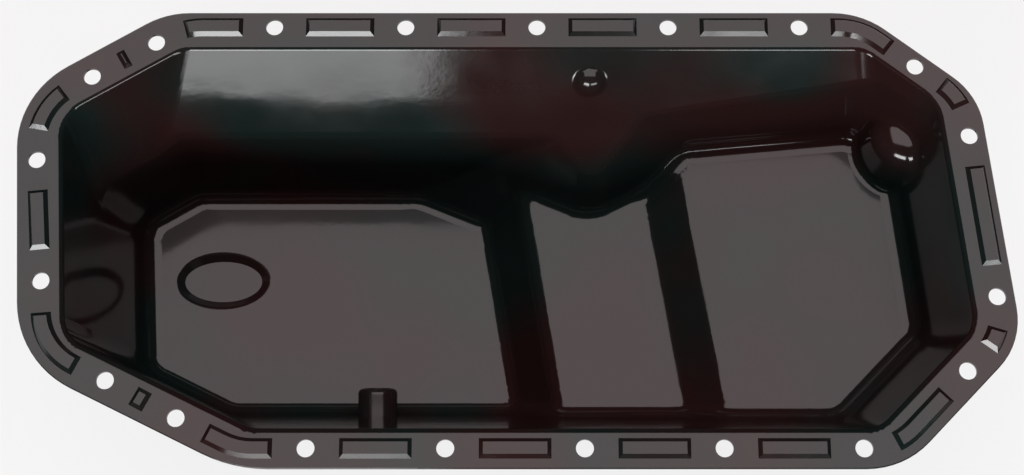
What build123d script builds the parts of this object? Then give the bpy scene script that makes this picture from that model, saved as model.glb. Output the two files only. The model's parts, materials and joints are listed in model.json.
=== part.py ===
from build123d import *

import math
import os
from dataclasses import dataclass

# ---------------------------------------------------------------------------
# Pressed-steel engine sump. Frame: the origin is the centre of the two long
# rows of bolt holes, on the gasket face; +X runs along the pan, +Y across it
# to the far row, +Z up out of the open side. Millimetres throughout.
# ---------------------------------------------------------------------------

# Sheet
sheet = 1.5

# Bolt holes
bolt_hole_d = 7.0
row_pitch = 54.2
row_holes = 5
row_spacing = 175.5
row_shift = 18.0

# Flange outline, from the rows outwards
far_margin = 6.5
near_margin = 8.0
left_reach = 221.9
right_reach = 182.1
far_left_cut = (59.5, 35.6)
far_right_cut = (46.1, 36.0)
near_right_cut = (49.5, 50.2)
near_left_cut = (86.3, 42.4)
left_lean = 8.0
right_lean = 10.6
flange_corner_radii = (38.0, 35.0, 35.0, 30.0, 30.0, 35.0, 60.0, 42.0)
rim_chamfer = 0.4

# Sides of the flange, clockwise, each from one corner to the next
FAR_LEFT, FAR, FAR_RIGHT, RIGHT, NEAR_RIGHT, NEAR, NEAR_LEFT, LEFT = range(8)

# Width of the flange on each side, from its outer edge to the bend
flange_width = {
    FAR_LEFT: 17.0,
    FAR: 15.5,
    FAR_RIGHT: 12.0,
    RIGHT: 17.0,
    NEAR_RIGHT: 17.0,
    NEAR: 15.7,
    NEAR_LEFT: 17.0,
    LEFT: 18.0,
}

# Holes at the two ends, clockwise: side, distance along it from its
# corner, inset
right_end_holes = (
    (FAR_RIGHT, 31.1, 5.9),
    (RIGHT, 17.3, 6.7),
    (RIGHT, 85.0, 6.9),
    (NEAR_RIGHT, 24.0, 7.9),
)
left_end_holes = (
    (NEAR_LEFT, 29.2, 7.8),
    (NEAR_LEFT, 61.3, 8.7),
    (LEFT, 32.2, 9.5),
    (LEFT, 83.1, 8.1),
    (FAR_LEFT, 29.9, 9.3),
    (FAR_LEFT, 59.5, 9.6),
)

# Sealing beads pressed up between the holes: width at the foot, height,
# slope of the sides, distance from the holes, and radius round a corner
bead_width = 8.0
bead_height = 1.6
bead_draft = 45.0
bead_gap = 13.0
bead_turn = 26.0

# Depths of the three floors below the gasket face
deep_floor = 100.0
middle_floor = 72.0
shallow_floor = 60.0

# Where the floors change level, on the pan's centre line
deep_step_foot = -25.6
deep_step_head = -9.1
middle_step_foot = 44.4
middle_step_head = 62.2
step_skew = 0.16
deep_step_radius = 10.0
middle_step_radius = 15.0

# Bend radii, measured inside the pan
floor_bend = 8.0
mouth_bend = 3.0
shoulder_bend = 8.0
pinch_bend = 20.0
wall_corner = 14.0

# The upper stage of the far walls ends within this depth
shoulder_depth = 51.0

# How far the lower tubs run on below their floors before they are cut
floor_spare = 20.0

# Distance within which two places count as the same, and the least part of
# a floor's normal that points down
same_place = 0.01
floor_facing = 0.3

# Crank-web relief: a round boss that stands into the far right corner
relief_centre = (150.7, 54.25)
relief_radius = 21.0
relief_top = 28.0
relief_draft = 6.0
relief_crown = 12.0
relief_bend = 4.0

# Round knob on the far shoulder
knob_x = 13.2
knob_depth = 12.8
knob_radius = 8.0
knob_height = 3.5
knob_bend = 2.0

# Oval dish in the deep floor
oval_centre = (-150.0, 6.0)
oval_size = (42.0, 26.0)
oval_depth = 3.0
oval_draft = 50.0
oval_bend = 2.0

# Drain, in the near wall of the deep end
drain_x = -77.3
drain_depth = 80.0
thread_d = 12.0
thread_pitch = 1.5
thread_clearance = 0.05
boss_d = 17.0
boss_height = 12.0
collar_d = 14.6
collar_clearance = 0.05
boss_round = 2.2
washer_d = 18.5
washer_bore_d = 12.6
washer_thickness = 1.5
plug_head_flats = 17.0
plug_head_height = 7.0
plug_flange_d = 19.0
plug_flange_height = 1.6
plug_chamfer = 1.0
plug_shank = 14.0


@dataclass(frozen=True)
class Wall:
    """A flat wall: the side of the flange that it follows, how far in from
    the flange edge it meets the gasket plane, its lean (run for each unit of
    depth), and how far its line is turned in plan, about a pivot along it."""

    side: int
    inset: float
    lean: float
    turn: float = 0.0
    pivot: float = 0.0


def flange_corners():
    """The eight corners of the flange, clockwise from the left end."""
    far_y = row_spacing / 2 + far_margin
    near_y = -row_spacing / 2 - near_margin
    return [
        Vector(-left_reach, far_y - far_left_cut[1]),
        Vector(-left_reach + far_left_cut[0], far_y),
        Vector(right_reach - right_lean - far_right_cut[0], far_y),
        Vector(right_reach - right_lean, far_y - far_right_cut[1]),
        Vector(right_reach, near_y + near_right_cut[1]),
        Vector(right_reach - near_right_cut[0], near_y),
        Vector(-left_reach + left_lean + near_left_cut[0], near_y),
        Vector(-left_reach + left_lean, near_y + near_left_cut[1]),
    ]


def side_frame(side):
    """Start of a side, its direction, and the direction into the pan."""
    corners = flange_corners()
    start = corners[side]
    along = (corners[(side + 1) % len(corners)] - start).normalized()
    return start, along, Vector(along.Y, -along.X)


def point_on_side(side, along_distance, inset):
    start, along, inward = side_frame(side)
    return start + along * along_distance + inward * inset


def wall_plane(wall, grow):
    """Plane of a wall's inner face moved out by grow; its normal points
    into the hollow."""
    start, along, inward = side_frame(wall.side)
    foot = start + along * wall.pivot + inward * wall.inset
    along = along.rotate(Axis.Z, wall.turn)
    inward = inward.rotate(Axis.Z, wall.turn)
    normal = Vector(inward.X, inward.Y, wall.lean).normalized()
    return Plane(origin=foot - normal * grow, x_dir=along, z_dir=normal)


def upright(edges):
    """Those edges that rise more than they run."""
    return [e for e in edges if abs((e @ 1 - e @ 0).Z) > 0.5 * e.length]


def tub(walls, depth, grow):
    """A tapered tub bounded by flat walls. Its upright corners are rounded,
    but for the far end corners, which the stages share."""
    reach = 2 * max(left_reach, right_reach) + row_spacing
    body = Solid.make_box(reach, reach, depth + grow).moved(
        Location((-reach / 2, -reach / 2, -depth - grow))
    )
    for wall in walls:
        body = body.split(wall_plane(wall, grow), keep=Keep.TOP)
    shared = far_end_corners(body, grow)
    own = [e for e in upright(body.edges()) if e not in shared]
    return body.fillet(wall_corner + grow, own)


def stepped_space(grow):
    """All the space above the stepped floor: a profile with rounded bends,
    drawn at the far side and pushed through along the skew of the steps."""
    far_y = row_spacing
    shift = -step_skew * far_y
    end = 2 * max(left_reach, right_reach)
    deep, middle, shallow = (-d - grow for d in (deep_floor, middle_floor, shallow_floor))
    profile = FilletPolyline(
        (-end, far_y, deep),
        (deep_step_foot + shift, far_y, deep),
        (deep_step_head + shift, far_y, middle),
        (middle_step_foot + shift, far_y, middle),
        (middle_step_head + shift, far_y, shallow),
        (end, far_y, shallow),
        (end, far_y, deep_floor),
        (-end, far_y, deep_floor),
        radius=[
            sheet,
            deep_step_radius + grow,
            deep_step_radius - grow,
            middle_step_radius + grow,
            middle_step_radius - grow,
            sheet,
            sheet,
            sheet,
        ],
        close=True,
    )
    face = Face(Wire(profile.edges()))
    return Solid.extrude(face, Vector(step_skew, -1, 0) * 2 * far_y)


# Walls of one stage, from the mouth down
left_wall = Wall(LEFT, flange_width[LEFT], 0.16)
near_left_wall = Wall(NEAR_LEFT, flange_width[NEAR_LEFT], 0.12)
near_wall = Wall(NEAR, flange_width[NEAR], 0.25)
near_right_wall = Wall(NEAR_RIGHT, flange_width[NEAR_RIGHT], 0.25)
right_wall = Wall(RIGHT, flange_width[RIGHT], 0.15)

# Upper stage of the far walls, and the tub that it closes
far_shoulder = Wall(FAR, flange_width[FAR], 0.8)
shoulder_walls = (
    Wall(FAR_LEFT, flange_width[FAR_LEFT], 0.5),
    far_shoulder,
    Wall(FAR_RIGHT, flange_width[FAR_RIGHT], 0.5),
    right_wall,
    near_right_wall,
    near_wall,
    near_left_wall,
    left_wall,
)

# Lower stage: the deep tub, pinched in on its far side towards the right,
# and the shallow tub, whose far side opens out again. Each ends inside the
# other where they overlap.
deep_walls = (
    Wall(FAR_LEFT, flange_width[FAR_LEFT] + 18.0, 0.06),
    Wall(FAR, flange_width[FAR] + 24.5, 0.075),
    Wall(FAR, 9.6, 0.45, turn=-22.3, pivot=122.2),
    Wall(RIGHT, 110.0, 0.2),
    near_wall,
    near_left_wall,
    left_wall,
)
shallow_walls = (
    Wall(FAR, 32.9, 0.39, turn=26.0, pivot=182.2),
    Wall(FAR, 24.6, 0.155, turn=5.2, pivot=282.8),
    Wall(FAR_RIGHT, flange_width[FAR_RIGHT] + 3.0, 0.15),
    right_wall,
    near_right_wall,
    near_wall,
    Wall(LEFT, 170.0, 0.2),
)


def on_wall(edge, wall, grow):
    """Whether an edge lies in the plane of a wall."""
    plane = wall_plane(wall, grow)
    return all(abs(plane.to_local_coords(edge @ t).Z) < same_place for t in (0, 0.5, 1))


def far_end_corners(body, grow):
    """The upright edges at the far ends of the two end walls."""
    ends = [e for e in body.edges() if on_wall(e, left_wall, grow) or on_wall(e, right_wall, grow)]
    return [e for e in ends if e.center().Y > 0 and abs((e @ 1 - e @ 0).Z) > 0.1 * e.length]


def floor_loop(body):
    """The closed run of edges where the stepped floor meets the walls. The
    floor's faces look down, square to the line along which the steps run."""
    run = Vector(step_skew, -1, 0).normalized()
    seen = {}
    for face in body.faces():
        normal = face.normal_at()
        if normal.Z > -floor_facing or abs(normal.dot(run)) > same_place:
            continue
        for edge in face.edges():
            c = edge.center()
            key = (round(c.X, 3), round(c.Y, 3), round(c.Z, 3))
            seen.setdefault(key, []).append(edge)
    return [edges[0] for edges in seen.values() if len(edges) == 1]


def joined(first, second):
    """Two bodies made one, and the edges where they meet."""
    body = first.fuse(second).clean().solids()[0]
    return body, new_edges(first, second, combined=body)


def relieved(first, second):
    """The first body less the second, and the edges that the cut leaves."""
    body = first.cut(second).clean().solids()[0]
    return body, new_edges(first, second, combined=body)


def relief_boss(grow):
    """Tapered round post with a crowned top, from under the shallow floor."""
    foot_z = -shallow_floor - 2 * floor_bend
    height = -relief_top - grow - foot_z
    foot = relief_radius - grow
    head = foot - height * math.tan(math.radians(relief_draft))
    post = Solid.make_cone(foot, head, height, Plane((*relief_centre, foot_z)))
    rim = [e for e in post.edges() if e.geom_type == GeomType.CIRCLE]
    return post.fillet(relief_crown - grow, [max(rim, key=lambda e: e.center().Z)])


def knob(grow):
    """Ball whose cap stands out of the far shoulder."""
    plane = wall_plane(far_shoulder, grow)
    y = flange_corners()[FAR].Y - far_shoulder.inset - knob_depth * far_shoulder.lean
    seat = Vector(knob_x, y, -knob_depth)
    centre = seat + plane.z_dir * (knob_height - knob_radius)
    return Solid.make_sphere(knob_radius - grow, Plane(centre), angle1=-90, angle2=90, angle3=360)


def oval_dish(grow):
    """Tapered oval pocket below the deep floor."""
    spread = math.tan(math.radians(oval_draft))
    rise = deep_step_radius / 2
    rings = []
    for height, run in ((rise, rise * spread), (-oval_depth - grow, -oval_depth * spread)):
        plane = Plane((*oval_centre, height - deep_floor))
        x_radius = oval_size[0] / 2 + grow + run
        y_radius = oval_size[1] / 2 + grow + run
        rings.append(Wire([Edge.make_ellipse(x_radius, y_radius, plane)]))
    return Solid.make_loft(rings, ruled=True)


def hollow_form(grow):
    """The form of the hollow inside, or with grow, of the pan's outside."""
    deep = tub(deep_walls, deep_floor + floor_spare, grow)
    shallow = tub(shallow_walls, deep_floor + floor_spare, grow)
    body, seam = joined(deep, shallow)
    body = body.fillet(pinch_bend - grow, upright(seam))
    body, seam = joined(body, tub(shoulder_walls, shoulder_depth, grow))
    body = body.fillet(shoulder_bend - grow, seam)
    body = body.fillet(wall_corner + grow, far_end_corners(body, grow))
    body = (body & stepped_space(grow)).solids()[0]
    return body.fillet(floor_bend + grow, floor_loop(body))


def lower_forms(grow):
    """The hollow form with its local features: relief, knob and oval."""
    body = hollow_form(grow)
    body, bend = relieved(body, relief_boss(grow))
    body = body.fillet(relief_bend + grow, bend)
    body, bend = relieved(body, knob(grow))
    body = body.fillet(knob_bend + grow, bend)
    body, bend = joined(body, oval_dish(grow))
    return body.fillet(oval_bend - grow, bend)


def bolt_holes():
    """Every bolt hole, clockwise from the left end of the far row: its side
    of the flange and its centre."""
    half = (row_holes - 1) / 2
    steps = [(i - half) * row_pitch for i in range(row_holes)]
    far = [(FAR, Vector(x - row_shift / 2, row_spacing / 2)) for x in steps]
    near = [(NEAR, Vector(x + row_shift / 2, -row_spacing / 2)) for x in reversed(steps)]
    right_end = [(place[0], point_on_side(*place)) for place in right_end_holes]
    left_end = [(place[0], point_on_side(*place)) for place in left_end_holes]
    return far + right_end + near + left_end


def flange_plate():
    corners = [(c.X, c.Y, -sheet) for c in flange_corners()]
    outline = FilletPolyline(*corners, radius=list(flange_corner_radii), close=True)
    return Solid.extrude(Face(Wire(outline.edges())), Vector(0, 0, sheet))


def bead_route(first, second):
    """Centre line of the bead between two holes, short of both by the bead
    gap, and turned with the flange where they lie on two sides."""
    (first_side, start), (second_side, end) = first, second
    if first_side == second_side:
        path = Wire([Edge.make_line(start, end)])
    else:
        one = side_frame(first_side)[1]
        two = side_frame(second_side)[1]
        gap = end - start
        reach = (gap.X * two.Y - gap.Y * two.X) / (one.X * two.Y - one.Y * two.X)
        corner = start + one * reach
        leg = min(reach, (end - corner).length)
        turn = math.radians(one.get_angle(two))
        radius = min(bead_turn, 0.95 * leg / math.tan(turn / 2))
        path = Wire(FilletPolyline(start, corner, end, radius=radius).edges())
    trim = bead_gap / path.length
    return path.trim(trim, 1 - trim)


def end_near(path, point):
    """The end of a path that lies nearer to a point."""
    return min((path @ 0, path @ 1), key=lambda end: (end - point).length)


def bead_form(route, half_width, foot):
    """Square-ended band along a route, rising from foot with sloped sides."""
    left = route.offset_2d(half_width, side=Side.LEFT, closed=False)
    right = route.offset_2d(half_width, side=Side.RIGHT, closed=False)
    ends = [
        Edge.make_line(end_near(left, point), end_near(right, point))
        for point in (route @ 0, route @ 1)
    ]
    outline = Wire(left.edges() + right.edges() + ends)
    face = Face(outline).moved(Location((0, 0, foot)))
    if face.normal_at().Z < 0:
        face = -face
    return extrude(face, amount=bead_height, taper=bead_draft).solids()[0]


def beaded_flange():
    """The flat flange with its broken rim, sealing beads and bolt holes."""
    plate = flange_plate()
    rim = plate.faces().sort_by(Axis.Z)[-1].outer_wire().edges()
    plate = plate.chamfer(rim_chamfer, None, rim)
    holes = bolt_holes()
    routes = [bead_route(a, b) for a, b in zip(holes, holes[1:] + holes[:1])]
    half = bead_width / 2
    under = half - sheet * math.tan(math.radians(bead_draft / 2))
    beads = [bead_form(route, half, 0.0) for route in routes]
    pockets = [bead_form(route, under, -sheet) for route in routes]
    drills = [
        Solid.make_cylinder(bolt_hole_d / 2, 2 * sheet, Plane((c.X, c.Y, -1.5 * sheet)))
        for _, c in holes
    ]
    return plate.fuse(*beads).cut(*pockets, *drills).solids()[0]


def inner_ring(body, height, facing):
    """Edges round the hollow of the flat flange face at a height."""
    faces = [
        f
        for f in body.faces()
        if abs(f.center().Z - height) < same_place and f.normal_at().Z * facing > 0.99
    ]
    face = max(faces, key=lambda f: f.area)
    return max(face.inner_wires(), key=lambda w: w.length).edges()


def drain_plane(offset):
    """Plane square to the drain's axis: at no offset it is the inner face of
    the near wall, and its normal points into the pan."""
    lean = near_wall.lean
    start, _, inward = side_frame(near_wall.side)
    y = start.Y + inward.Y * (near_wall.inset + drain_depth * lean)
    axis = Vector(inward.X, inward.Y, lean).normalized()
    centre = Vector(drain_x, y, -drain_depth)
    return Plane(origin=centre + axis * offset, x_dir=(1, 0, 0), z_dir=axis)


def drain_cylinder(radius, start, end):
    return Solid.make_cylinder(radius, end - start, drain_plane(start))


def inner_rim(cylinder):
    """The round edge of a drain cylinder that lies deeper in the pan."""
    rims = [e for e in cylinder.edges() if e.geom_type == GeomType.CIRCLE]
    return max(rims, key=lambda e: e.center().Y)


def oil_pan():
    """The whole pressing: flange, stepped hollow and drain hole."""
    outer = lower_forms(sheet)
    body = beaded_flange().fuse(outer).clean().solids()[0]
    body = body.fillet(mouth_bend - sheet, inner_ring(body, -sheet, -1))
    body = body.cut(lower_forms(0.0)).solids()[0]
    body = body.fillet(mouth_bend, inner_ring(body, 0.0, 1))
    hole = drain_cylinder(collar_d / 2 + collar_clearance, -2 * sheet, 2 * sheet)
    return body.cut(hole).solids()[0]


def drain_boss():
    """Threaded bush welded inside the near wall, its collar in the wall."""
    bush = drain_cylinder(boss_d / 2, 0.0, boss_height)
    bush = bush.fillet(boss_round, [inner_rim(bush)])
    collar = drain_cylinder(collar_d / 2, -sheet, 0.0)
    bore = drain_cylinder(thread_d / 2 + thread_clearance, -2 * sheet, boss_height + sheet)
    return bush.fuse(collar).cut(bore).solids()[0]


def sealing_washer():
    """Flat ring under the head of the plug, on the outside of the wall."""
    outside = -sheet
    ring = drain_cylinder(washer_d / 2, outside - washer_thickness, outside)
    bore = drain_cylinder(washer_bore_d / 2, outside - 2 * washer_thickness, outside + sheet)
    return ring.cut(bore).solids()[0]


def drain_plug():
    """Hexagon plug: head and flange outside, shank through to the boss."""
    seat = -sheet - washer_thickness
    collar_face = seat - plug_flange_height
    head_face = collar_face - plug_head_height
    flange = drain_cylinder(plug_flange_d / 2, collar_face, seat)
    hexagon = RegularPolygon(plug_head_flats / 2, 6, major_radius=False)
    head = extrude(drain_plane(head_face) * hexagon, amount=plug_head_height).solids()[0]
    crown = Solid.make_cone(
        plug_head_flats / 2 - plug_chamfer / 2,
        plug_head_flats / 2 + 2 * plug_head_height,
        2 * plug_head_height + plug_chamfer / 2,
        drain_plane(head_face),
    )
    head = (head & crown).solids()[0]
    shank = drain_cylinder(thread_d / 2, seat, seat + plug_shank)
    shank = shank.chamfer(0.75 * thread_pitch, None, [inner_rim(shank)])
    return head.fuse(flange, shank).clean().solids()[0]


pieces = {
    "oil_pan": oil_pan,
    "drain_boss": drain_boss,
    "sealing_washer": sealing_washer,
    "drain_plug": drain_plug,
}

os.makedirs("parts", exist_ok=True)
for name, make in pieces.items():
    export_step(make(), f"parts/{name}.step")
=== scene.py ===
"""Studio scene of a stamped steel engine oil pan, seen into its open side.

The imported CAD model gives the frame, the drain's axis and the floor's height. The
scene adds the finishes, the plug with its rolled thread, the camera, the floor,
the dark walls and the studio light.
"""

import json
import logging
import math
from dataclasses import dataclass
from enum import Enum

import bmesh
import bpy
from mathutils import Matrix, Vector

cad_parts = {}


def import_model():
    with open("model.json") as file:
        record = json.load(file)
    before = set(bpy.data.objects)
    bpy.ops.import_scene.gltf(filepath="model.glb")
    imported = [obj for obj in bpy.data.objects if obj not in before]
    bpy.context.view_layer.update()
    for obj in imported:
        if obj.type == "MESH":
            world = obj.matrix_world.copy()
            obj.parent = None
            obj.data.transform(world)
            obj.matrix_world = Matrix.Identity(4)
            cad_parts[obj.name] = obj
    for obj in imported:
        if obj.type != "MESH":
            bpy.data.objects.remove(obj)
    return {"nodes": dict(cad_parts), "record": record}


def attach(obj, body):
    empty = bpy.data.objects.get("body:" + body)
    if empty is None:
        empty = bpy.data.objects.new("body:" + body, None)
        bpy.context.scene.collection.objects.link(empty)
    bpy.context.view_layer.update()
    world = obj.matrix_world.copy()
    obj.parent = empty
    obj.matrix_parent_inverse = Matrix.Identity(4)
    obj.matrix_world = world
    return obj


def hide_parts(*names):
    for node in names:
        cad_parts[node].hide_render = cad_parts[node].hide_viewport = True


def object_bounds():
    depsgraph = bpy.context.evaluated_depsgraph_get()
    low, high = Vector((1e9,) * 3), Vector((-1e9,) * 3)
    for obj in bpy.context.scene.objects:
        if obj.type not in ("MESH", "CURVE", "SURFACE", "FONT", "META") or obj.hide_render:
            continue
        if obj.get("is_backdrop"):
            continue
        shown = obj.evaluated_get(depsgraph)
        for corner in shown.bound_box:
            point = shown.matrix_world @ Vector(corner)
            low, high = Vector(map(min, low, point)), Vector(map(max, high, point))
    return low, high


log = logging.getLogger("oil_pan")

MM = 0.001
WHITE = (1.0, 1.0, 1.0)
THREAD_DEPTH = 0.6134
SHARP_ANGLE = math.radians(28)
CUT_SLACK = 0.0001

Colour = tuple[float, float, float]
Place = tuple[float, float, float]
Socket = bpy.types.NodeSocket
Tree = bpy.types.NodeTree


class Slot(Enum):
    """Material slots of the record, one for each finish."""

    PAN = "black_paint"
    BOSS = "boss_paint"
    WASHER = "washer_metal"
    PLUG = "plug_steel"


class Body(Enum):
    """Bodies of the frame that new pieces ride on."""

    PLUG = "plug"


class Node(Enum):
    """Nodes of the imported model."""

    PAN = "oil_pan"
    BOSS = "drain_boss"
    WASHER = "sealing_washer"
    PLUG = "drain_plug"


# ---------------------------------------------------------------------------
# Shader building
# ---------------------------------------------------------------------------


@dataclass
class Shading:
    """A node tree being built, with short calls for the nodes it uses.

    Args:
        tree: The node tree of a material, a world or a node group.
    """

    tree: Tree

    def node(self, kind: str, **settings: object) -> bpy.types.Node:
        """Adds one node.

        Args:
            kind: Blender's name of the node type.
            **settings: Properties to set on it.

        Returns:
            The new node.
        """
        made = self.tree.nodes.new(kind)
        for name, value in settings.items():
            setattr(made, name, value)
        return made

    def feed(self, socket: Socket, value: object) -> None:
        """Links a socket to an output, or sets its constant.

        Args:
            socket: The input to feed.
            value: An output socket, a number or a tuple.
        """
        if isinstance(value, bpy.types.NodeSocket):
            self.tree.links.new(value, socket)
        else:
            socket.default_value = value

    def noise(self, place: Socket, scale: float, detail: float, rough: float = 0.5) -> Socket:
        """A noise value over the surface.

        Args:
            place: Coordinates, in metres.
            scale: Features per metre.
            detail: Octaves.
            rough: Weight of the finer octaves.

        Returns:
            The noise value, from 0 to 1.
        """
        made = self.node("ShaderNodeTexNoise")
        self.feed(made.inputs["Vector"], place)
        self.feed(made.inputs["Scale"], scale)
        self.feed(made.inputs["Detail"], detail)
        self.feed(made.inputs["Roughness"], rough)
        return made.outputs["Fac"]

    def ramp(self, value: Socket, low: float, high: float, start: float, end: float) -> Socket:
        """Maps a value's range onto another, held at both ends.

        Args:
            value: The value to map.
            low: Its lowest value.
            high: Its highest value.
            start: What the lowest becomes.
            end: What the highest becomes.

        Returns:
            The mapped value.
        """
        made = self.node("ShaderNodeMapRange", clamp=True)
        limits = {"From Min": low, "From Max": high, "To Min": start, "To Max": end}
        for name, number in limits.items():
            self.feed(made.inputs[name], number)
        self.feed(made.inputs["Value"], value)
        return made.outputs["Result"]

    def blend(self, share: Socket, first: object, second: object) -> Socket:
        """Mixes two colours.

        Args:
            share: How much of the second colour.
            first: A colour or an output.
            second: A colour or an output.

        Returns:
            The mixed colour.
        """
        made = self.node("ShaderNodeMix", data_type="RGBA")
        self.feed(made.inputs[0], share)
        self.feed(made.inputs[6], first)
        self.feed(made.inputs[7], second)
        return made.outputs[2]

    def maths(self, operation: str, first: object, second: object, clamp: bool = False) -> Socket:
        """Works out one sum on two values.

        Args:
            operation: Blender's name of the operation.
            first: A number or an output.
            second: A number or an output.
            clamp: Whether the result is held between 0 and 1.

        Returns:
            The result.
        """
        made = self.node("ShaderNodeMath", operation=operation, use_clamp=clamp)
        self.feed(made.inputs[0], first)
        self.feed(made.inputs[1], second)
        return made.outputs[0]

    def bump(self, height: Socket, strength: float, distance: float) -> Socket:
        """Turns a height into a normal.

        Args:
            height: The height value.
            strength: How much of the bump shows.
            distance: Height of a full step, in metres.

        Returns:
            The bumped normal.
        """
        made = self.node("ShaderNodeBump")
        self.feed(made.inputs["Strength"], strength)
        self.feed(made.inputs["Distance"], distance)
        self.feed(made.inputs["Height"], height)
        return made.outputs["Normal"]


def rgba(colour: Colour) -> tuple[float, float, float, float]:
    """The colour with full alpha."""
    return (*colour, 1.0)


def new_group(
    name: str, inputs: dict[str, str], outputs: dict[str, str]
) -> tuple[Shading, dict, dict]:
    """Starts a node group with named sockets.

    Args:
        name: Name of the group.
        inputs: Its inputs, each name with its kind, such as Color or Float.
        outputs: Its outputs, in the same way.

    Returns:
        The group's shading, its inputs as seen inside, and its outputs to feed.
    """
    tree = bpy.data.node_groups.new(name, "ShaderNodeTree")
    for way, sockets in (("INPUT", inputs), ("OUTPUT", outputs)):
        for label, kind in sockets.items():
            tree.interface.new_socket(name=label, in_out=way, socket_type="NodeSocket" + kind)
    made = Shading(tree)
    inside = made.node("NodeGroupInput")
    outside = made.node("NodeGroupOutput")
    return made, {n: inside.outputs[n] for n in inputs}, {n: outside.inputs[n] for n in outputs}


def coat_group() -> Tree:
    """Builds the group for the skin of a dipped coat of paint.

    Returns:
        A group that clouds two colours into each other and gives the coat's haze,
        its fine orange peel and its slow sags.
    """
    made, given, wanted = new_group(
        "coat_skin",
        {"Colour": "Color", "Tint": "Color", "Gloss": "Float", "Peel": "Float"},
        {"Colour": "Color", "Roughness": "Float", "Height": "Float"},
    )
    place = made.node("ShaderNodeTexCoord").outputs["Object"]
    cloud = made.ramp(made.noise(place, 11.0, 2.0, 0.45), 0.42, 0.58, 0.0, 1.0)
    made.feed(wanted["Colour"], made.blend(cloud, given["Colour"], given["Tint"]))
    haze = made.ramp(made.noise(place, 26.0, 4.0, 0.6), 0.3, 0.7, -0.03, 0.04)
    made.feed(wanted["Roughness"], made.maths("ADD", given["Gloss"], haze, clamp=True))
    peel = made.maths("MULTIPLY", made.noise(place, 420.0, 2.0), given["Peel"])
    made.feed(wanted["Height"], made.maths("ADD", peel, made.noise(place, 42.0, 1.0)))
    return made.tree


def turned_group() -> Tree:
    """Builds the group for metal turned on a lathe and then handled.

    Returns:
        A group that takes coordinates with Z along the piece's axis, and gives the
        clouding of its finish, its haze and its fine turning lines.
    """
    made, given, wanted = new_group(
        "turned_skin",
        {"Place": "Vector", "Colour": "Color", "Tint": "Color", "Gloss": "Float",
         "Lines": "Float"},
        {"Colour": "Color", "Roughness": "Float", "Height": "Float"},
    )
    cloud = made.ramp(made.noise(given["Place"], 160.0, 4.0, 0.6), 0.35, 0.65, 0.0, 1.0)
    made.feed(wanted["Colour"], made.blend(cloud, given["Colour"], given["Tint"]))
    haze = made.ramp(made.noise(given["Place"], 420.0, 3.0, 0.6), 0.3, 0.7, -0.06, 0.10)
    made.feed(wanted["Roughness"], made.maths("ADD", given["Gloss"], haze, clamp=True))
    split = made.node("ShaderNodeSeparateXYZ")
    made.feed(split.inputs[0], given["Place"])
    across = made.maths("POWER", split.outputs["X"], 2.0)
    up = made.maths("POWER", split.outputs["Y"], 2.0)
    radius = made.maths("SQRT", made.maths("ADD", across, up), 0.0)
    ring = made.node("ShaderNodeCombineXYZ")
    made.feed(ring.inputs["X"], radius)
    made.feed(ring.inputs["Y"], split.outputs["Z"])
    lines = made.maths("MULTIPLY", made.noise(ring.outputs[0], 3200.0, 2.0, 0.6), given["Lines"])
    dents = made.noise(given["Place"], 260.0, 2.0)
    made.feed(wanted["Height"], made.maths("ADD", lines, dents))
    return made.tree


@dataclass(frozen=True)
class GlossPaint:
    """Black stoving paint on steel.

    Args:
        name: Name of the material.
        colour: Colour of the paint where the coat is thin and brownish.
        tint: Colour of the paint where the coat is full.
        gloss: Mean roughness of the coat.
        peel: Weight of the fine orange peel against the slow sags.
        relief: Height of the skin's waves, in metres.
    """

    name: str
    colour: Colour = (0.0240, 0.0098, 0.0098)
    tint: Colour = (0.0090, 0.0160, 0.0147)
    gloss: float = 0.11
    peel: float = 0.10
    relief: float = 0.00025

    def material(self, skin: Tree) -> bpy.types.Material:
        """Builds the material.

        Args:
            skin: The coat skin group.

        Returns:
            The finished material.
        """
        made = bpy.data.materials.new(self.name)
        made.use_nodes = True
        shading = Shading(made.node_tree)
        shader = made.node_tree.nodes["Principled BSDF"]
        coat = shading.node("ShaderNodeGroup", node_tree=skin)
        for name, value in (("Colour", rgba(self.colour)), ("Tint", rgba(self.tint)),
                            ("Gloss", self.gloss), ("Peel", self.peel)):
            shading.feed(coat.inputs[name], value)
        shading.feed(shader.inputs["Base Color"], coat.outputs["Colour"])
        shading.feed(shader.inputs["Roughness"], coat.outputs["Roughness"])
        shading.feed(shader.inputs["Normal"], shading.bump(coat.outputs["Height"], 0.5, self.relief))
        return made


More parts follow.
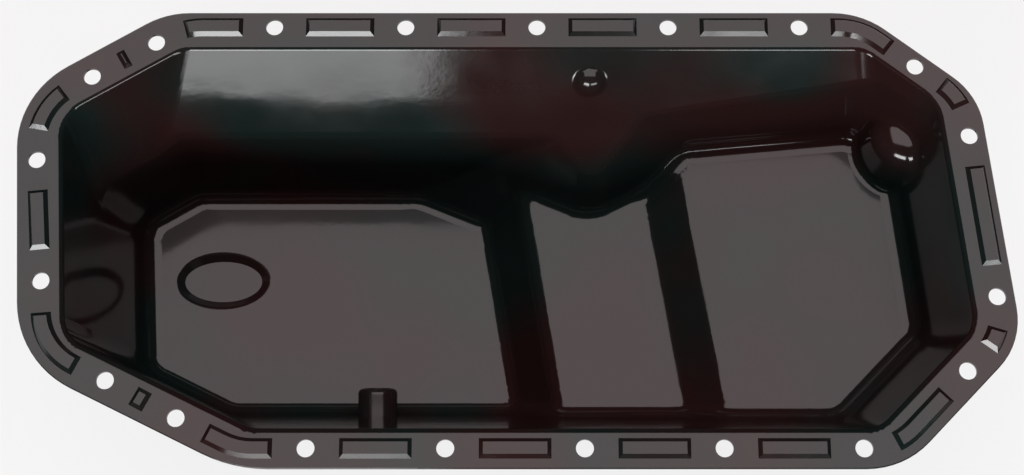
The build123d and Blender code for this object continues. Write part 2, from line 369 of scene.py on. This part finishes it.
@dataclass(frozen=True)
class TurnedMetal:
    """Bare or plated metal of a small turned piece.

    Args:
        name: Name of the material.
        colour: Colour of the clean metal.
        tint: Colour where the finish has dulled.
        gloss: Mean roughness.
        lines: Weight of the turning lines against the handling dents.
        relief: Height of the skin's marks, in metres.
    """

    name: str
    colour: Colour
    tint: Colour
    gloss: float
    lines: float = 1.5
    relief: float = 0.00004

    def material(self, skin: Tree, axis: "DrainAxis") -> bpy.types.Material:
        """Builds the material.

        Args:
            skin: The turned skin group.
            axis: The axis that the piece was turned about.

        Returns:
            The finished material.
        """
        made = bpy.data.materials.new(self.name)
        made.use_nodes = True
        shading = Shading(made.node_tree)
        shader = made.node_tree.nodes["Principled BSDF"]
        shading.feed(shader.inputs["Metallic"], 1.0)
        place = shading.node("ShaderNodeMapping", vector_type="TEXTURE")
        shading.feed(place.inputs["Vector"], shading.node("ShaderNodeTexCoord").outputs["Object"])
        shading.feed(place.inputs["Location"], axis.origin)
        shading.feed(place.inputs["Rotation"], axis.turn())
        metal = shading.node("ShaderNodeGroup", node_tree=skin)
        for name, value in (("Place", place.outputs[0]), ("Colour", rgba(self.colour)),
                            ("Tint", rgba(self.tint)), ("Gloss", self.gloss), ("Lines", self.lines)):
            shading.feed(metal.inputs[name], value)
        shading.feed(shader.inputs["Base Color"], metal.outputs["Colour"])
        shading.feed(shader.inputs["Roughness"], metal.outputs["Roughness"])
        shading.feed(shader.inputs["Normal"], shading.bump(metal.outputs["Height"], 0.4, self.relief))
        return made


# ---------------------------------------------------------------------------
# Drain plug
# ---------------------------------------------------------------------------


@dataclass(frozen=True)
class DrainAxis:
    """The axis of the drain: it starts on the inner face of the pan's wall.

    Args:
        origin: Where the axis meets that face, in metres.
        inward: Its direction into the pan.
    """

    origin: Place
    inward: Place

    @classmethod
    def of(cls, record: dict) -> "DrainAxis":
        """Reads the axis from the plug's own joint.

        Args:
            record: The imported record.

        Returns:
            The axis.
        """
        joints = {joint["name"]: joint for joint in record["behaviour"]["joints"]}
        turn = joints["plug_turn"]
        return cls(tuple(turn["pos_m"]), tuple(-part for part in turn["axis"]))

    def matrix(self) -> Matrix:
        """Takes a shape built along +Z at the origin to the drain."""
        turned = Vector(self.inward).to_track_quat("Z", "X").to_matrix().to_4x4()
        return Matrix.Translation(self.origin) @ turned

    def turn(self) -> tuple[float, float, float]:
        """The axis's turn from +Z, as Euler angles."""
        return tuple(self.matrix().to_euler())


@dataclass(frozen=True)
class DrainPlug:
    """Hexagon drain plug with a flange and a rolled thread. Millimetres; heights
    run along the drain's axis from the inner face of the wall.

    Args:
        axis: The drain's axis.
        seat: Height of the flange's face on the washer.
        flange_height: Thickness of the flange.
        flange_d: Diameter of the flange.
        head_height: Height of the hexagon.
        head_flats: Width of the hexagon across its flats.
        head_chamfer: Twice how far the cone cuts in from the flats.
        shank: Length of the shank from the flange's face.
        neck: Length of the plain neck under the thread.
        thread_d: Outer diameter of the thread.
        pitch: Pitch of the thread.
        steps: Segments in one turn of the thread.
        edge_round: Width of the flange's broken edge.
        neck_step: How much smaller the neck's radius is than the thread's root.
        cone_rise: How far the head's cone climbs for each unit outward, as a slope.
    """

    axis: DrainAxis
    seat: float = -3.0
    flange_height: float = 1.6
    flange_d: float = 19.0
    head_height: float = 7.0
    head_flats: float = 17.0
    head_chamfer: float = 1.0
    shank: float = 14.0
    neck: float = 1.6
    thread_d: float = 12.0
    pitch: float = 1.5
    steps: int = 32
    edge_round: float = 0.5
    neck_step: float = 0.2
    cone_rise: float = 1.7

    @property
    def root(self) -> float:
        """Radius at the root of the thread."""
        return self.thread_d / 2 - THREAD_DEPTH * self.pitch

    def ring(
        self, made: bmesh.types.BMesh, radius: float, height: float
    ) -> list[bmesh.types.BMEdge]:
        """Adds an open round loop.

        Args:
            made: The mesh in hand.
            radius: Its radius.
            height: Its height.

        Returns:
            Its edges.
        """
        place = Matrix.Translation((0.0, 0.0, height))
        verts = bmesh.ops.create_circle(
            made, segments=self.steps, radius=radius, matrix=place)["verts"]
        return list({edge for vert in verts for edge in vert.link_edges})

    def add_thread(self, made: bmesh.types.BMesh) -> None:
        """Screws one tooth up the shank, trims it flat and closes both ends.

        Args:
            made: The mesh in hand.
        """
        low, high = self.seat + self.neck, self.seat + self.shank - self.pitch / 2
        crest = self.thread_d / 2
        tooth = ((self.root, 0.0), (self.root, 0.25), (crest, 0.5625), (crest, 0.6875),
                 (self.root, 1.0))
        verts = [made.verts.new((r, 0.0, low + (share - 1.5) * self.pitch)) for r, share in tooth]
        edges = [made.edges.new(pair) for pair in zip(verts, verts[1:])]
        turns = math.ceil((high - low) / self.pitch) + 2
        bmesh.ops.spin(made, geom=verts + edges, cent=(0, 0, 0), axis=(0, 0, 1),
                       dvec=(0, 0, self.pitch / self.steps), angle=2 * math.pi * turns,
                       steps=self.steps * turns, use_merge=False)
        bmesh.ops.remove_doubles(made, verts=made.verts[:], dist=0.001)
        for height, way in ((low, -1), (high, 1)):
            cut = bmesh.ops.bisect_plane(made, geom=made.verts[:] + made.edges[:] + made.faces[:],
                                         dist=CUT_SLACK, plane_co=(0, 0, height), plane_no=(0, 0, way),
                                         clear_outer=True)
            rim = [e for e in cut["geom_cut"] if isinstance(e, bmesh.types.BMEdge)]
            tip = self.seat if way < 0 else self.seat + self.shank
            end = self.ring(made, self.root - self.neck_step, tip)
            bmesh.ops.bridge_loops(made, edges=rim + end)
            bmesh.ops.edgeloop_fill(made, edges=end)

    def add_flange(self, made: bmesh.types.BMesh) -> None:
        """Adds the round flange with a broken edge.

        Args:
            made: The mesh in hand.
        """
        middle = self.seat - self.flange_height / 2
        verts = bmesh.ops.create_cone(made, cap_ends=True, segments=2 * self.steps,
                                      radius1=self.flange_d / 2, radius2=self.flange_d / 2,
                                      depth=self.flange_height,
                                      matrix=Matrix.Translation((0, 0, middle)))["verts"]
        low = min(vert.co.z for vert in verts)
        rim = [e for e in {e for vert in verts for e in vert.link_edges}
               if all(abs(vert.co.z - low) < 0.01 for vert in e.verts)]
        bmesh.ops.bevel(made, geom=rim, offset=self.edge_round, offset_type="OFFSET", segments=3,
                        profile=0.5, affect="EDGES", material=-1)

    def add_head(self, made: bmesh.types.BMesh) -> None:
        """Adds the hexagon head, its outer corners turned to a cone.

        Args:
            made: The mesh in hand.
        """
        top = self.seat - self.flange_height - self.head_height
        across = self.head_flats / math.cos(math.pi / 6) / 2
        head = bmesh.new()
        turned = Matrix.Rotation(math.pi / 6, 4, "Z")
        middle = Matrix.Translation((0, 0, top + self.head_height / 2)) @ turned
        bmesh.ops.create_cone(head, cap_ends=True, segments=6, radius1=across, radius2=across,
                              depth=self.head_height, matrix=middle)
        start = self.head_flats / 2 - self.head_chamfer / 2
        for step in range(2 * self.steps):
            angle = math.pi * step / self.steps
            outward = Vector((math.cos(angle), math.sin(angle), 0.0))
            cut = bmesh.ops.bisect_plane(head, geom=head.verts[:] + head.edges[:] + head.faces[:],
                                         dist=CUT_SLACK, plane_co=outward * start + Vector((0, 0, top)),
                                         plane_no=outward + Vector((0, 0, -self.cone_rise)), clear_outer=True)
            rim = [e for e in cut["geom_cut"] if isinstance(e, bmesh.types.BMEdge)]
            if len(rim) > 2:
                bmesh.ops.contextual_create(head, geom=rim)
        whole = bpy.data.meshes.new("head")
        head.to_mesh(whole)
        head.free()
        made.from_mesh(whole)
        bpy.data.meshes.remove(whole)

    def build(self, material: bpy.types.Material) -> bpy.types.Object:
        """Builds the plug where the model has it.

        Args:
            material: Its finish.

        Returns:
            The plug, riding on its body in place of the plain solid.
        """
        made = bmesh.new()
        self.add_thread(made)
        self.add_flange(made)
        self.add_head(made)
        bmesh.ops.recalc_face_normals(made, faces=made.faces[:])
        bmesh.ops.scale(made, vec=(MM, MM, MM), verts=made.verts[:])
        bmesh.ops.transform(made, matrix=self.axis.matrix(), verts=made.verts[:])
        for face in made.faces:
            face.smooth = True
        mesh = bpy.data.meshes.new("threaded_plug")
        made.to_mesh(mesh)
        made.free()
        mesh.set_sharp_from_angle(angle=SHARP_ANGLE)
        mesh.materials.append(material)
        plug = bpy.data.objects.new("threaded_plug", mesh)
        bpy.context.scene.collection.objects.link(plug)
        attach(plug, Body.PLUG.value)
        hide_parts(Node.PLUG.value)
        return plug


# ---------------------------------------------------------------------------
# Studio
# ---------------------------------------------------------------------------


@dataclass(frozen=True)
class Softbox:
    """A rectangular lamp with a diffuser.

    Args:
        name: Name of the lamp.
        place: Its centre, in metres.
        aim: The point it faces.
        size: Its width and height, in metres.
        radiance: Brightness of its face.
        colour: Colour of its light.
    """

    name: str
    place: Place
    aim: Place
    size: tuple[float, float]
    radiance: float
    colour: Colour = WHITE

    def build(self) -> bpy.types.Object:
        """Adds the lamp to the scene.

        Returns:
            The lamp.
        """
        data = bpy.data.lights.new(self.name, "AREA")
        data.shape = "RECTANGLE"
        data.size, data.size_y = self.size
        data.energy = self.radiance * math.pi * self.size[0] * self.size[1]
        data.color = self.colour
        lamp = bpy.data.objects.new(self.name, data)
        lamp.location = self.place
        facing = Vector(self.aim) - Vector(self.place)
        lamp.rotation_euler = facing.to_track_quat("-Z", "Y").to_euler()
        bpy.context.scene.collection.objects.link(lamp)
        return lamp


@dataclass
class Studio:
    """Camera, floor, lamps and surroundings.

    Args:
        floor_height: Height of the floor, in metres.
        camera_place: Where the camera stands, in metres.
        camera_tilt: Its turn from looking straight down.
        camera_lens: Its focal length, in millimetres.
        camera_shift: Its shift upward, as a share of the picture's width.
        lamps: The softboxes.
        wall_reach: Radius of the dark walls, in metres.
        wall_height: Their height, in metres.
        wall_colour: Their colour.
        wall_drop: How far they reach under the floor, in metres.
        floor_half: Half the floor's width, in metres.
        floor_colour: Colour of the paper on the floor.
        floor_glow: Share of plain white in what shows of the floor.
        dim: Strength of the world for rays that don't show it.
    """

    floor_height: float
    camera_place: Place = (-0.0193, -0.2132, 0.7306)
    camera_tilt: float = math.radians(16.0)
    camera_lens: float = 66.8
    camera_shift: float = 0.00244
    lamps: tuple[Softbox, ...] = (
        Softbox("ceiling", (0.0, 0.35, 1.9), (0.0, 0.35, 0.0), (2.6, 2.0), 1.9,
                (1.0, 0.88, 0.89)),
        Softbox("near_left_tall", (-0.57, -1.5, 0.55), (-0.57, 0.0, 0.55), (0.9, 0.38), 14.0),
        Softbox("near_left_low", (-0.57, -1.5, 0.27), (-0.57, 0.0, 0.27), (0.9, 0.17), 5.0),
        Softbox("near_left_rail", (-0.30, -1.5, 0.12), (-0.30, 0.0, 0.12), (0.36, 0.03), 4.0),
        Softbox("near_left_post", (-0.29, -1.5, 0.16), (-0.29, 0.0, 0.16), (0.07, 0.05), 4.0),
        Softbox("near_right_tall", (0.75, -1.5, 0.53), (0.75, 0.0, 0.53), (1.1, 0.34), 8.0),
    )
    wall_reach: float = 2.6
    wall_height: float = 2.4
    wall_colour: Colour = (0.02, 0.022, 0.021)
    wall_drop: float = 0.05
    floor_half: float = 3.0
    floor_colour: Colour = (0.82, 0.82, 0.82)
    floor_glow: float = 0.8
    dim: float = 0.2

    def add_camera(self) -> None:
        """Adds the camera and makes it the scene's own."""
        data = bpy.data.cameras.new("camera")
        data.lens = self.camera_lens
        data.shift_y = self.camera_shift
        camera = bpy.data.objects.new("camera", data)
        camera.location = self.camera_place
        camera.rotation_euler = (self.camera_tilt, 0.0, 0.0)
        bpy.context.scene.collection.objects.link(camera)
        bpy.context.scene.camera = camera

    def seen_as_white(self, shading: Shading) -> Socket:
        """Whether a ray shows the background.

        Args:
            shading: The shading to add the nodes to.

        Returns:
            1 for camera, glossy and transmission rays, and 0 for the rest.
        """
        ray = shading.node("ShaderNodeLightPath").outputs
        mirror = shading.maths("MAXIMUM", ray["Is Glossy Ray"], ray["Is Transmission Ray"])
        return shading.maths("MAXIMUM", ray["Is Camera Ray"], mirror)

    def add_world(self) -> None:
        """Adds dim surroundings that show as white."""
        world = bpy.data.worlds.new("surroundings")
        world.use_nodes = True
        bpy.context.scene.world = world
        shading = Shading(world.node_tree)
        world.node_tree.nodes.clear()
        back = shading.node("ShaderNodeBackground")
        shading.feed(back.inputs["Color"], rgba(WHITE))
        strength = shading.ramp(self.seen_as_white(shading), 0.0, 1.0, self.dim, 1.0)
        shading.feed(back.inputs["Strength"], strength)
        end = shading.node("ShaderNodeOutputWorld")
        shading.feed(end.inputs["Surface"], back.outputs[0])

    def stage_object(self, name: str, made: bmesh.types.BMesh) -> tuple[bpy.types.Object, Shading]:
        """Adds a piece of the set, which isn't part of the pan.

        Args:
            name: Its name.
            made: Its mesh, which is freed.

        Returns:
            The object, and the shading of its new material.
        """
        mesh = bpy.data.meshes.new(name)
        made.to_mesh(mesh)
        made.free()
        piece = bpy.data.objects.new(name, mesh)
        bpy.context.scene.collection.objects.link(piece)
        material = bpy.data.materials.new(name)
        material.use_nodes = True
        mesh.materials.append(material)
        piece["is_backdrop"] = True
        return piece, Shading(material.node_tree)

    def add_walls(self) -> None:
        """Adds dark walls, closed above and below and hidden from the camera only.

        They keep the reflections in black paint dark. They also stop glossy rays and
        the world's light, so the world shows only to the camera.
        """
        made = bmesh.new()
        centre = self.floor_height + self.wall_height / 2 - self.wall_drop
        middle = Matrix.Translation((0.0, 0.0, centre))
        bmesh.ops.create_cone(made, cap_ends=True, segments=64, radius1=self.wall_reach,
                              radius2=self.wall_reach, depth=self.wall_height, matrix=middle)
        walls, shading = self.stage_object("studio_walls", made)
        felt = shading.tree.nodes["Principled BSDF"]
        shading.feed(felt.inputs["Base Color"], rgba(self.wall_colour))
        shading.feed(felt.inputs["Roughness"], 0.95)
        walls.visible_camera = False

    def add_floor(self) -> None:
        """Adds the plain pale floor that the pan stands on."""
        made = bmesh.new()
        bmesh.ops.create_grid(made, x_segments=1, y_segments=1, size=self.floor_half)
        bmesh.ops.translate(made, vec=(0.0, 0.0, self.floor_height), verts=made.verts)
        _, shading = self.stage_object("floor_paper", made)
        paper = shading.tree.nodes["Principled BSDF"]
        shading.feed(paper.inputs["Base Color"], rgba(self.floor_colour))
        shading.feed(paper.inputs["Roughness"], 0.9)
        glow = shading.node("ShaderNodeEmission")
        shading.feed(glow.inputs["Color"], rgba(WHITE))
        shading.feed(glow.inputs["Strength"], 1.0)
        mix = shading.node("ShaderNodeMixShader")
        shown = shading.maths("MULTIPLY", self.seen_as_white(shading), self.floor_glow)
        shading.feed(mix.inputs[0], shown)
        shading.feed(mix.inputs[1], paper.outputs[0])
        shading.feed(mix.inputs[2], glow.outputs[0])
        shading.feed(shading.tree.nodes["Material Output"].inputs["Surface"], mix.outputs[0])

    def build(self) -> None:
        """Sets up the whole studio."""
        bpy.context.scene.view_settings.view_transform = "Standard"
        self.add_camera()
        self.add_world()
        self.add_walls()
        self.add_floor()
        for lamp in self.lamps:
            lamp.build()
            log.info("lamp %s", lamp.name)


def corners() -> list[list[float]]:
    """The lowest and highest corner of what is shown, as plain lists."""
    bpy.context.view_layer.update()
    return [list(corner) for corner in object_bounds()]


def dress(frame: dict, node: Node, material: bpy.types.Material) -> None:
    """Gives a node of the model its finish.

    Args:
        frame: The loaded frame.
        node: The node.
        material: Its finish.
    """
    frame["nodes"][node.value].material_slots[0].material = material
    log.info("%s dressed in %s", node.value, material.name)


def main() -> None:
    """Builds the scene."""
    logging.basicConfig(level=logging.INFO, format="%(message)s")
    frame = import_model()
    cad_box = corners()
    Studio(floor_height=cad_box[0][2]).build()
    axis = DrainAxis.of(frame["record"])
    coat = coat_group()
    turned = turned_group()
    dress(frame, Node.PAN, GlossPaint("black_dip_paint").material(coat))
    bush_paint = GlossPaint("black_dip_paint_on_bush", gloss=0.16, relief=0.0001)
    dress(frame, Node.BOSS, bush_paint.material(coat))
    aluminium = TurnedMetal("soft_aluminium", (0.75, 0.75, 0.76), (0.60, 0.60, 0.60), 0.36)
    dress(frame, Node.WASHER, aluminium.material(turned, axis))
    zinc = TurnedMetal("passivated_zinc", (0.55, 0.52, 0.42), (0.44, 0.42, 0.36), 0.32,
                       lines=0.8)
    plug = DrainPlug(axis).build(zinc.material(turned, axis))
    log.info("%s built with %d faces", plug.name, len(plug.data.polygons))
    {"cad": cad_box, "visual": corners()}


if __name__ == "__main__":
    main()
